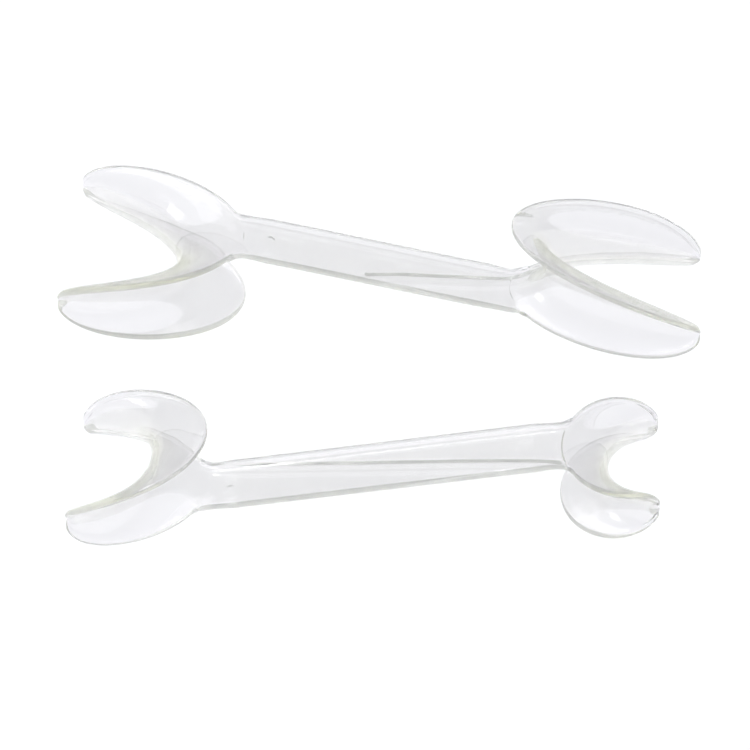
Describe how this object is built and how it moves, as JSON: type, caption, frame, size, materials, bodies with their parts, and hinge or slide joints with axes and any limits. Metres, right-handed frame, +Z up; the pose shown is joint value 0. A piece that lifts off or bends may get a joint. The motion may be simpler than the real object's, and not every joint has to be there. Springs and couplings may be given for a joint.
{
  "type": "cheek retractor set",
  "caption": "Clear double-ended cheek retractors, large and small: a flat oblique handle with a flanged C-shaped lip channel at either end.",
  "frame": {"origin": "centre of the pair's footprint, on the table they lie on", "axes": "+X along the handles, +Y from the small retractor toward the large one, +Z up"},
  "size_m": [0.1818, 0.1242, 0.0326],
  "materials": {
    "clear_plastic": "clear, polished, very faint blue"
  },
  "bodies": {
    "large_retractor": {"large_left_head": "clear_plastic", "large_handle": "clear_plastic", "large_right_head": "clear_plastic"},
    "small_retractor": {"small_left_head": "clear_plastic", "small_handle": "clear_plastic", "small_right_head": "clear_plastic"}
  },
  "joints": [
    {"name": "small_lift", "type": "slide", "parent": "large_retractor", "child": "small_retractor", "axis": [0, 0, 1], "range_m": [0, 0.1]}
  ]
}
